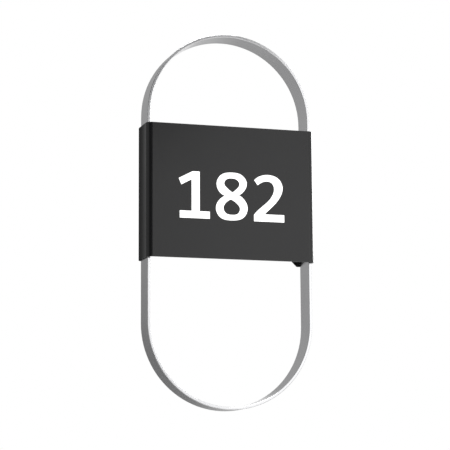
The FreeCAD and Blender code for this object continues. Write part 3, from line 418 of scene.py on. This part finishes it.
def loop_group():
    """A point of the bent bar laid out flat: rise on a leg plus turned angle times the radius"""
    inputs = {"Point": VECTOR, "Middle": NUMBER, "Straight": NUMBER, "Radius": NUMBER}
    tree, given, result = new_group("along_the_loop", inputs, {"Unrolled": VECTOR})
    axes = put(tree, "ShaderNodeSeparateXYZ", {0: given.outputs["Point"]}).outputs
    straight = given.outputs["Straight"]
    rise = maths(tree, "SUBTRACT", axes["Z"], given.outputs["Middle"])
    low = maths(tree, "MULTIPLY", straight, -1.0)
    held = maths(tree, "MINIMUM", maths(tree, "MAXIMUM", rise, low), straight)
    past = maths(tree, "SUBTRACT", rise, held)
    angle = maths(tree, "ARCTAN2", past, axes["X"])
    bent = maths(tree, "MULTIPLY", angle, given.outputs["Radius"])
    unrolled = put(tree, "ShaderNodeCombineXYZ", {
        "X": maths(tree, "ADD", held, bent), "Y": axes["Y"],
        "Z": distance_from_axis(tree, past, axes["X"]),
    })
    tree.links.new(unrolled.outputs[0], result.inputs["Unrolled"])
    return tree


groups["lines"] = line_group()
groups["unroll"] = loop_group()
print("shared effects:", ", ".join(groups))

# %% [markdown]
# A start for every finish
#
# Each finish begins in the same way: a material with one Principled shader, a base colour from the
# part's record, a plain metalness, and a gloss that drifts in broad clouds. The colour also drifts a
# little, and turns brighter in a thin band along the edges of the piece's own box. Constants stay on
# the shader's own sockets, and only what changes over the surface is linked.

# %% Start a finish
def place_group(tree, name, **inputs):
    """A shared effect placed in a material, its inputs named with underscores for spaces"""
    node = tree.nodes.new("ShaderNodeGroup")
    node.node_tree = groups[name]
    for label, value in inputs.items():
        socket = node.inputs[label.replace("_", " ")]
        if isinstance(value, bpy.types.NodeSocket):
            tree.links.new(value, socket)
        else:
            socket.default_value = value
    return node


def shade(colour, share):
    """A colour made lighter or darker by a share, with full alpha"""
    return tuple(min(1.0, part * share) for part in colour[:3]) + (1.0,)


def start_finish(name, colour, gloss, drift, cloud_scale, metal=0.0):
    """A material with drifting colour and roughness, and its tree, shader and object point"""
    material = bpy.data.materials.new(name)
    material.use_nodes = True
    tree = material.node_tree
    skin = tree.nodes["Principled BSDF"]
    skin.inputs["Metallic"].default_value = metal
    point = put(tree, "ShaderNodeTexCoord").outputs["Object"]
    low, high = gloss
    rough = place_group(tree, "clouds", Point=point, Scale=cloud_scale, Low=low, High=high)
    tree.links.new(rough.outputs["Value"], skin.inputs["Roughness"])
    tone = place_group(tree, "clouds", Point=point, Scale=cloud_scale * 2.3, Low=0.0, High=1.0)
    darker, lighter = shade(colour, 1 - drift), shade(colour, 1 + drift)
    mixed = put(tree, "ShaderNodeMix", {
        "Factor": tone.outputs["Value"], "A": darker, "B": lighter,
    }, data_type="RGBA")
    tree.links.new(mixed.outputs["Result"], skin.inputs["Base Color"])
    return material, tree, skin, point


def mix_in(tree, skin, factor, colour):
    """Lay a colour over the base colour where a factor is high"""
    under = skin.inputs["Base Color"].links[0].from_socket
    inputs = {"Factor": factor, "A": under, "B": colour}
    mixed = put(tree, "ShaderNodeMix", inputs, data_type="RGBA")
    tree.links.new(mixed.outputs["Result"], skin.inputs["Base Color"])


def wear_edges(tree, skin, point, node, width, colour, strength):
    """A thin brighter band along the edges of the piece's box"""
    low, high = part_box(node)
    middle, half_size = (low + high) / 2, (high - low) / 2
    edges = place_group(
        tree, "edges", Point=point, Middle=middle, Half_size=half_size, Width=width,
    )
    mix_in(tree, skin, maths(tree, "MULTIPLY", edges.outputs["Edge"], strength), colour)


def raise_surface(tree, skin, height, distance, strength):
    """A bump from a height, added to any bump that is there"""
    inputs = {"Height": height, "Distance": distance, "Strength": strength}
    if skin.inputs["Normal"].links:
        inputs["Normal"] = skin.inputs["Normal"].links[0].from_socket
    bump = put(tree, "ShaderNodeBump", inputs)
    tree.links.new(bump.outputs["Normal"], skin.inputs["Normal"])


def wearers(slot):
    """The pieces that wear a slot's finish, as words to print"""
    return slot + ": " + ", ".join(node for node in pieces if slot_of[node] == slot)


# %% [markdown]
# The loop's satin metal
#
# The loop is flat bar with fine lines drawn along its length, which bend with it. Lines in plain
# Object coordinates would run straight across the arches, so the point is first unrolled: the rise on
# the straight legs, then the turned angle times the radius, as if the bar were laid out flat.

# %% Satin metal for the loop
LOOP_RADIUS = (loop_high.x - loop_low.x) / 2
LOOP_STRAIGHT = (loop_high.z - loop_low.z) / 2 - LOOP_RADIUS


def satin_metal(node):
    """Satin metal with lines along the bent bar"""
    bright = shade(colour_of["satin_aluminium"], 1.25)
    material, tree, skin, point = start_finish(
        "satin_metal", bright, metal=1.0, gloss=(0.18, 0.22), drift=0.03, cloud_scale=9.0,
    )
    flat = place_group(
        tree, "unroll", Point=point, Middle=loop_front.z, Straight=LOOP_STRAIGHT,
        Radius=LOOP_RADIUS,
    ).outputs["Unrolled"]
    lines = place_group(tree, "lines", Point=flat, Stretch=(0.015, 1.0, 1.0), Scale=2600.0)
    mix_in(tree, skin, maths(tree, "MULTIPLY", lines.outputs["Tone"], 0.12), shade(bright, 0.8))
    raise_surface(tree, skin, lines.outputs["Height"], 0.04 * MM, 0.25)
    return material


print(f"legs {2 * LOOP_STRAIGHT:.3f} m long, arches of radius {LOOP_RADIUS:.3f} m")
print(wearers("satin_aluminium"))

# %% [markdown]
# The cover's satin black
#
# The cover is folded sheet with a smooth black coat. The coat has orange peel of about a millimetre,
# too faint to see as dimples but enough to soften what it mirrors, and it is a trace lighter where it
# is thin, along the cut edges. The flanges are rubbed dull towards their rear edge, where fingers push
# the light on to its bracket, so the shine fades from front to back.

# %% Satin black for the cover
RUBBED_FROM, RUBBED_TO = -38 * MM, -4 * MM
RUBBED_ROUGHNESS = 0.65


def satin_black(node):
    """Smooth black coat with faint orange peel, thin lighter edges, and duller towards the rear"""
    black = shade(colour_of["satin_black"], 0.6)
    material, tree, skin, point = start_finish(
        "satin_black_" + node, black, gloss=(0.23, 0.28), drift=0.05, cloud_scale=11.0,
    )
    skin.inputs["Specular IOR Level"].default_value = 0.46
    depth = put(tree, "ShaderNodeSeparateXYZ", {0: point}).outputs["Y"]
    rubbed = ramp(tree, depth, RUBBED_FROM, RUBBED_TO)
    duller = maths(tree, "MULTIPLY", rubbed, RUBBED_ROUGHNESS)
    smooth = skin.inputs["Roughness"].links[0].from_socket
    tree.links.new(maths(tree, "ADD", smooth, duller), skin.inputs["Roughness"])
    wear_edges(tree, skin, point, node, 0.7 * MM, (0.05, 0.05, 0.052, 1), 0.15)
    peel = place_group(tree, "peel", Point=point, Scale=900.0)
    raise_surface(tree, skin, peel.outputs["Height"], 0.03 * MM, 0.3)
    return material


print(wearers("satin_black"))

# %% [markdown]
# Opal plastic lit from behind
#
# The numerals are opal plastic, flush in the cover, with light sources about a centimetre behind. In a
# picture they are even white. A surface that shines a little by itself gives that without a real lamp
# behind it, and the plastic's own faint clouds keep the shine from being one flat number.

# %% Opal plastic for the numerals and the panel behind them
NUMERAL_SHINE, PANEL_SHINE = 0.85, 0.5


def opal(node):
    """White plastic that shines with faint clouds in it"""
    material, tree, skin, point = start_finish(
        "opal_" + node, colour_of["opal_white"], gloss=(0.28, 0.36), drift=0.015,
        cloud_scale=40.0,
    )
    haze = place_group(tree, "clouds", Point=point, Scale=55.0, Low=0.93, High=1.0)
    glow = put(tree, "ShaderNodeCombineXYZ", {axis: haze.outputs["Value"] for axis in "XYZ"})
    tree.links.new(glow.outputs[0], skin.inputs["Emission Color"])
    shine = NUMERAL_SHINE if node.startswith("numeral") else PANEL_SHINE
    skin.inputs["Emission Strength"].default_value = shine
    grain = place_group(tree, "peel", Point=point, Scale=1500.0)
    raise_surface(tree, skin, grain.outputs["Height"], 0.02 * MM, 0.2)
    return material


print(wearers("opal_white"))

# %% [markdown]
# Metals and coats inside the gear tray
#
# Behind the cover are the plain materials of electrical gear: zinc on the bracket and the fasteners,
# a white coat on the tray, bare sheet for the lid, and brass for posts and the earth stud. Zinc has a
# cloudy, slightly blue and yellow bloom. Bare sheet has the fine lines of rolling, all one way.

# %% Zinc, white coat, bare sheet and brass
def zinc(node):
    """Zinc plating: metal with a faint two-coloured bloom and fine pitting"""
    material, tree, skin, point = start_finish(
        "zinc_" + node, colour_of["zinc_steel"], metal=1.0, gloss=(0.28, 0.48), drift=0.08,
        cloud_scale=60.0,
    )
    bloom = place_group(tree, "clouds", Point=point, Scale=95.0, Low=0.0, High=0.35)
    mix_in(tree, skin, bloom.outputs["Value"], (0.62, 0.60, 0.50, 1))
    wear_edges(tree, skin, point, node, 0.5 * MM, (0.78, 0.79, 0.82, 1), 0.5)
    pits = place_group(tree, "peel", Point=point, Scale=2100.0)
    raise_surface(tree, skin, pits.outputs["Height"], 0.03 * MM, 0.3)
    return material


def white_coat(node):
    """White powder coat: orange peel, soft gloss and greyer edges"""
    material, tree, skin, point = start_finish(
        "white_coat_" + node, colour_of["white_steel"], gloss=(0.38, 0.52), drift=0.03,
        cloud_scale=18.0,
    )
    wear_edges(tree, skin, point, node, 0.8 * MM, (0.62, 0.62, 0.61, 1), 0.45)
    peel = place_group(tree, "peel", Point=point, Scale=800.0)
    raise_surface(tree, skin, peel.outputs["Height"], 0.06 * MM, 0.5)
    return material


def bare_sheet(node):
    """Rolled sheet metal: fine lines along X and a few broad smears"""
    bare = colour_of["plain_aluminium"]
    material, tree, skin, point = start_finish(
        "bare_sheet", bare, metal=1.0, gloss=(0.26, 0.42), drift=0.05, cloud_scale=16.0,
    )
    lines = place_group(tree, "lines", Point=point, Stretch=(0.02, 1.0, 1.0), Scale=1900.0)
    mix_in(tree, skin, maths(tree, "MULTIPLY", lines.outputs["Tone"], 0.2), shade(bare, 0.75))
    wear_edges(tree, skin, point, node, 0.6 * MM, (0.88, 0.88, 0.9, 1), 0.5)
    raise_surface(tree, skin, lines.outputs["Height"], 0.04 * MM, 0.35)
    return material


def turned_brass(node):
    """Brass with dull clouds and rings from turning"""
    material, tree, skin, point = start_finish(
        "brass_" + node, colour_of["brass_plain"], metal=1.0, gloss=(0.24, 0.42), drift=0.1,
        cloud_scale=120.0,
    )
    tarnish = place_group(tree, "clouds", Point=point, Scale=210.0, Low=0.0, High=0.4)
    mix_in(tree, skin, tarnish.outputs["Value"], (0.42, 0.30, 0.14, 1))
    rings = place_group(tree, "lines", Point=point, Stretch=(0.05, 1.0, 0.05), Scale=5200.0)
    raise_surface(tree, skin, rings.outputs["Height"], 0.03 * MM, 0.4)
    return material


for slot in ("zinc_steel", "white_steel", "plain_aluminium", "brass_plain"):
    print(wearers(slot))

# %% [markdown]
# Moulded plastics and rubber
#
# Moulded parts are even in colour with a fine spark-eroded texture, and a little paler along their
# edges, where they are handled. Rubber is duller and catches dust. The levers keep their colours,
# brown, blue and green, so that the cores can be told apart.

# %% Plastics and rubber
def moulded(node):
    """Moulded plastic in its slot's colour, with a fine texture and paler edges"""
    colour = colour_of[slot_of[node]]
    material, tree, skin, point = start_finish(
        "moulded_" + node, colour, gloss=(0.32, 0.44), drift=0.04, cloud_scale=80.0,
    )
    wear_edges(tree, skin, point, node, 0.35 * MM, shade(colour, 1.25), 0.5)
    texture = place_group(tree, "peel", Point=point, Scale=2600.0)
    raise_surface(tree, skin, texture.outputs["Height"], 0.03 * MM, 0.5)
    return material


def rubber(node):
    """Matt black rubber with dust in its pores"""
    material, tree, skin, point = start_finish(
        "rubber_" + node, colour_of["black_rubber"], gloss=(0.62, 0.8), drift=0.2,
        cloud_scale=90.0,
    )
    dust = place_group(tree, "clouds", Point=point, Scale=420.0, Low=0.0, High=0.14)
    mix_in(tree, skin, dust.outputs["Value"], (0.34, 0.33, 0.31, 1))
    pores = place_group(tree, "peel", Point=point, Scale=1800.0)
    raise_surface(tree, skin, pores.outputs["Height"], 0.06 * MM, 0.5)
    return material


for slot in ("driver_white", "terminal_grey", "black_rubber"):
    print(wearers(slot))

# %% [markdown]
# The circuit board and its light sources
#
# The board's white mask shows the copper tracks under it as slight ridges, which is what makes a
# board read as a board, so the tracks are a bump of broad bars between the rows of light sources.
# A light source is yellow phosphor in a white frame, and only the phosphor shines. Twenty-seven of
# them share one material: folding X and Z to and fro by half the distance between two neighbours
# lays all the windows over each other, so one round spot serves for all.

# %% Board and light sources
CHIP_PITCH_X, CHIP_PITCH_Z = 14 * MM, 18 * MM
TRACK_SHIFT = 4.2 * MM
PHOSPHOR_EDGE, FRAME_EDGE = 1.05 * MM, 1.12 * MM


def board_mask(node):
    """White solder mask over copper tracks: bars along X that rise a little, between the rows"""
    material, tree, skin, point = start_finish(
        "board_mask", colour_of["board_white"], gloss=(0.22, 0.34), drift=0.02,
        cloud_scale=30.0,
    )
    axes = put(tree, "ShaderNodeSeparateXYZ", {0: point}).outputs
    shifted = maths(tree, "ADD", axes["Z"], TRACK_SHIFT)
    row = maths(tree, "PINGPONG", shifted, CHIP_PITCH_Z / 2)
    lower_side, upper_side = ramp(tree, row, 2.2 * MM, 2.5 * MM), ramp(tree, row, 8.4 * MM, 8.1 * MM)
    track = maths(tree, "MULTIPLY", lower_side, upper_side)
    column = maths(tree, "PINGPONG", axes["X"], CHIP_PITCH_X / 2)
    length, bridge = ramp(tree, column, 6.6 * MM, 6.3 * MM), ramp(tree, row, 6.4 * MM, 6.8 * MM)
    copper = maths(tree, "MULTIPLY", track, maths(tree, "MAXIMUM", length, bridge))
    mix_in(tree, skin, maths(tree, "MULTIPLY", copper, 0.25), (0.83, 0.84, 0.80, 1))
    raise_surface(tree, skin, copper, 0.05 * MM, 0.8)
    wear_edges(tree, skin, point, node, 0.8 * MM, (0.70, 0.66, 0.5, 1), 0.6)
    return material


def phosphor(node):
    """Yellow phosphor in a white frame: X and Z are folded, so every window lies over the first"""
    material, tree, skin, point = start_finish(
        "phosphor", colour_of["chip_yellow"], gloss=(0.3, 0.42), drift=0.05, cloud_scale=500.0,
    )
    low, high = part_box(node)
    axes = put(tree, "ShaderNodeSeparateXYZ", {0: point}).outputs
    rise = maths(tree, "SUBTRACT", axes["Z"], (low.z + high.z) / 2)
    across = maths(tree, "PINGPONG", axes["X"], CHIP_PITCH_X / 2)
    upward = maths(tree, "PINGPONG", rise, CHIP_PITCH_Z / 2)
    from_middle = distance_from_axis(tree, across, upward)
    frame_part = ramp(tree, from_middle, PHOSPHOR_EDGE, FRAME_EDGE)
    mix_in(tree, skin, frame_part, (0.88, 0.88, 0.86, 1))
    grain = place_group(tree, "peel", Point=point, Scale=5200.0)
    raise_surface(tree, skin, grain.outputs["Height"], 0.02 * MM, 0.5)
    glow = put(tree, "ShaderNodeMix", {
        "Factor": frame_part, "A": (1.0, 0.93, 0.78, 1), "B": (0, 0, 0, 1),
    }, data_type="RGBA")
    tree.links.new(glow.outputs["Result"], skin.inputs["Emission Color"])
    skin.inputs["Emission Strength"].default_value = 0.6
    return material


for slot in ("board_white", "chip_yellow"):
    print(wearers(slot))

# %% [markdown]
# Dressing the pieces
#
# The record names a slot for every piece, and a slot has one maker of finishes. Each piece gets a
# material of its own from that maker, because the worn edges follow the piece's own box. Writing
# the pairs down in one table shows at a glance which finish goes where.

# %% Give every piece its finish
finish_of = {
    "satin_aluminium": satin_metal, "satin_black": satin_black, "opal_white": opal,
    "zinc_steel": zinc, "white_steel": white_coat, "plain_aluminium": bare_sheet,
    "brass_plain": turned_brass, "board_white": board_mask, "chip_yellow": phosphor,
    "driver_white": moulded, "terminal_grey": moulded, "lever_brown": moulded,
    "lever_blue": moulded, "lever_green": moulded, "black_rubber": rubber,
}
for node, piece in pieces.items():
    piece.data.materials.clear()
    piece.data.materials.append(finish_of[slot_of[node]](node))
print(f"{len(pieces)} pieces have their finish")

# %% [markdown]
# Small parts made of rings
#
# The solids show each screw as a plain head on a plain pin, each spring washer as a plain ring and
# each light source as a plain block, which is all that a solid needs. What the eye looks for is the
# six-sided socket, the turns of the thread, the teeth and the round window. All of these are rings
# round one axis, so a piece is a table of rings: how deep each ring lies, and how far it stands from
# the axis at every angle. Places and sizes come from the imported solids. The faces look outwards
# because the rings are always listed from the outer end's middle, over the outside, to the inner end.

# %% Rings round an axis
RING_POINTS = 36
SHARP_ANGLE = math.radians(32)
around = np.linspace(0, 2 * np.pi, RING_POINTS, endpoint=False)
circle = np.ones(RING_POINTS)


def stack_rings(rows, spot, axis, closed=False):
    """Rings at spot + axis * depth + radius * (side * cos + other * sin), capped or closed"""
    depths = np.array([depth for depth, _ in rows])
    radii = np.array([radius * circle for _, radius in rows])
    axis = Vector(axis)
    side = Vector((1, 0, 0)) if axis.z else Vector((0, 0, 1))
    directions = np.array([side, axis.cross(side), axis])
    flat = radii[..., None] * np.stack([np.cos(around), np.sin(around)], axis=-1)
    along = np.broadcast_to(depths[:, None, None], radii.shape + (1,))
    local = np.concatenate([flat, along], axis=-1)
    points = (local @ directions + np.array(spot)).reshape(-1, 3)
    number = np.arange(len(points)).reshape(len(rows), RING_POINTS)
    if closed:
        quads = grid_faces(len(rows) + 1, RING_POINTS, wrap=True) % len(points)
        return points, quads, number[:0]
    caps = np.stack([number[0, ::-1], number[-1]])
    return points, grid_faces(len(rows), RING_POINTS, wrap=True), caps


def ring_piece(name, stacks, body, node):
    """One piece from several stacks, riding on a body in place of its node, its edges kept sharp"""
    counts = np.cumsum([0] + [len(points) for points, _, _ in stacks[:-1]])
    points = np.concatenate([points for points, _, _ in stacks])
    quads = np.concatenate([quads + count for (_, quads, _), count in zip(stacks, counts)])
    caps = np.concatenate([caps + count for (_, _, caps), count in zip(stacks, counts)])
    piece = make_mesh(name, points, quads.tolist() + caps.tolist())
    piece.data.set_sharp_from_angle(angle=SHARP_ANGLE)
    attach(piece, body)
    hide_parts(node)
    piece.data.materials.append(finish_of[slot_of[node]](node))
    print(f"{name}: {len(stacks)} piece(s), {len(piece.data.polygons)} faces")


def corner_spots(node, radius, axis):
    """Where a node's round pieces start: a radius inside its box's corners, seen along an axis"""
    low, high = (np.array(corner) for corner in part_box(node))
    middle = (low + high) / 2
    narrow = high - low < 2.5 * radius
    near = np.where(narrow, middle, low + radius)
    far = np.where(narrow, middle, high - radius)
    start = np.where(np.array(axis) > 0, low, high)
    across = [number for number in range(3) if not axis[number]]
    spots = np.repeat(start[None], 4, axis=0)
    spots[:, across[0]] = np.array([near, near, far, far])[:, across[0]]
    spots[:, across[1]] = np.array([near, far, near, far])[:, across[1]]
    return np.unique(spots.round(7), axis=0)


# %% [markdown]
# Turned screws
#
# A screw is cut on a lathe, so it is round everywhere but in its socket. The socket's wall follows a
# hexagon: at an angle from the middle of a side, it stands the side's distance divided by the cosine
# of that angle from the axis. Along the thread the radius rises and falls once per turn, and where it
# rises moves round with the depth, which is what winds it. Pan heads stand proud, and sunk heads lie
# flush in the cover's lips and in the legs of the loop.

# %% Screws
SIDES = 6
RINGS_PER_TURN = 6
THREAD_DEPTH = 0.3
LOOP_SCREW_LENGTH = 8.2 * MM
side_angle = 2 * np.pi / SIDES
hexagon = math.cos(side_angle / 2) / np.cos(around % side_angle - side_angle / 2)


def screw_rings(head, height, pin, length, pitch, sunk):
    """Rings of a screw, from its socket's floor, over the head and down the thread to its end"""
    socket = 0.5 * head * hexagon
    rim = 0.12 * height if sunk else 0.2 * height
    rows = [
        (0.62 * height, 0.96 * socket), (0.58 * height, socket), (0.04 * height, socket),
        (0, 1.06 * socket), (0, head - rim), (0.3 * rim, head - 0.3 * rim), (rim, head),
    ]
    rows += [(height, pin)] if sunk else [(height, head), (height, pin)]
    start, end = height + 0.4 * pitch, length - 0.8 * pitch
    turns = np.arange(start, end, pitch / RINGS_PER_TURN)
    wave = 0.5 + 0.5 * np.cos(2 * np.pi * turns[:, None] / pitch - around)
    fade = np.clip(np.minimum(turns - start, end - turns) / pitch, 0, 1)[:, None]
    rows += list(zip(turns, pin - THREAD_DEPTH * pitch * wave * fade))
    return rows + [(length - 0.5 * pitch, pin), (length, pin - 0.4 * pitch)]


def make_screws(node, body, axes, thread, sunk=False, length=None):
    """All screws of one node: one at each of its corners, along each axis"""
    head, height, pin, pitch = (part * MM for part in thread)
    low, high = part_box(node)
    stacks = []
    for axis in axes:
        long = length or abs((high - low).dot(Vector(axis)))
        rows = screw_rings(head, height, pin, long, pitch, sunk)
        stacks += [stack_rings(rows, spot, axis) for spot in corner_spots(node, head, axis)]
    ring_piece("turned_" + node, stacks, body, node)


# Radius and height of the head, radius of the pin and pitch of the thread, in millimetres
PAN_SMALL = (2.8, 1.6, 1.45, 0.5)
SUNK_SMALL = (2.8, 1.35, 1.45, 0.5)
PAN_LARGE = (3.8, 2.4, 1.95, 0.7)
SUNK_LARGE = (3.8, 1.85, 1.95, 0.7)
TO_REAR, TO_FRONT = (0, 1, 0), (0, -1, 0)
TO_RIGHT, TO_LEFT = (1, 0, 0), (-1, 0, 0)
UP, DOWN = (0, 0, 1), (0, 0, -1)
for node in ("lid_screws", "board_screws", "driver_screws"):
    make_screws(node, "light", [TO_REAR], PAN_SMALL)
make_screws("lip_screws", "light", [TO_FRONT], SUNK_SMALL, sunk=True)
make_screws(
    "loop_screws", "light", [TO_RIGHT, TO_LEFT], SUNK_LARGE, sunk=True,
    length=LOOP_SCREW_LENGTH,
)
for end, axis in (("top", DOWN), ("bottom", UP)):
    for hand in ("left", "right"):
        node = f"lock_screw_{end}_{hand}"
        make_screws(node, node + "_body", [axis], PAN_LARGE)

# %% [markdown]
# Toothed washers on the studs
#
# The opal panel is held by push-on washers: thin spring steel whose inner teeth bite the studs. The
# inner edge stands at the stud, and between the teeth it falls back in five notches. The teeth are
# also dished a little towards the panel, which is how the washer grips when it is pushed on.

# %% Push-on washers
TEETH = 5
outer_reach, bite, sheet = 4 * MM, 1.62 * MM, 0.8 * MM
notch_depth, tooth_slope = 1.1 * MM, 0.5 * MM
notch = 0.5 + 0.5 * np.cos(TEETH * around)
tooth_edge = bite + notch_depth * np.clip(1.6 * notch - 0.5, 0, 1)
washer_rows = [
    (0.34 * sheet, tooth_edge), (0, tooth_edge + tooth_slope),
    (0.12 * sheet, 0.82 * outer_reach), (0.3 * sheet, outer_reach),
    (0.7 * sheet, outer_reach), (0.62 * sheet, 0.82 * outer_reach),
    (0.5 * sheet, tooth_edge + tooth_slope), (0.84 * sheet, tooth_edge),
]
stud_spots = corner_spots("stud_clips", outer_reach, TO_REAR)
washers = [stack_rings(washer_rows, spot, TO_REAR, closed=True) for spot in stud_spots]
ring_piece("toothed_washers", washers, "light", "stud_clips")

# %% [markdown]
# Light sources on the board
#
# Each light source is a white frame with rounded corners round a sunk round window, filled with yellow
# phosphor. The outline of the frame is a rounded rectangle: the eighth powers of the two shares of its
# half sizes add up to one. Twenty-seven of them stand in three rows, so each has only a few rings.

# %% Light sources
CHIP_COLUMNS, CHIP_ROWS = 9, 3
CORNER_POWER = 8
chip_low, chip_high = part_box("led_chips")
half_wide, half_tall, thick = 1.4 * MM, 1.75 * MM, chip_high.y - chip_low.y
tall_share = np.abs(np.cos(around) / half_tall) ** CORNER_POWER
wide_share = np.abs(np.sin(around) / half_wide) ** CORNER_POWER
outline = (tall_share + wide_share) ** (-1 / CORNER_POWER)
window = 0.76 * half_wide
chip_rows = [
    (0.06 * thick, 0.45 * window), (0.14 * thick, 0.9 * window), (0.16 * thick, window),
    (0, 1.05 * window), (0, 0.93 * outline), (0.1 * thick, outline), (thick, outline),
]
chip_spots = [
    (x, chip_low.y, z)
    for x in np.linspace(chip_low.x + half_wide, chip_high.x - half_wide, CHIP_COLUMNS)
    for z in np.linspace(chip_low.z + half_tall, chip_high.z - half_tall, CHIP_ROWS)
]
chips = [stack_rings(chip_rows, spot, TO_REAR) for spot in chip_spots]
ring_piece("light_sources", chips, "light", "led_chips")
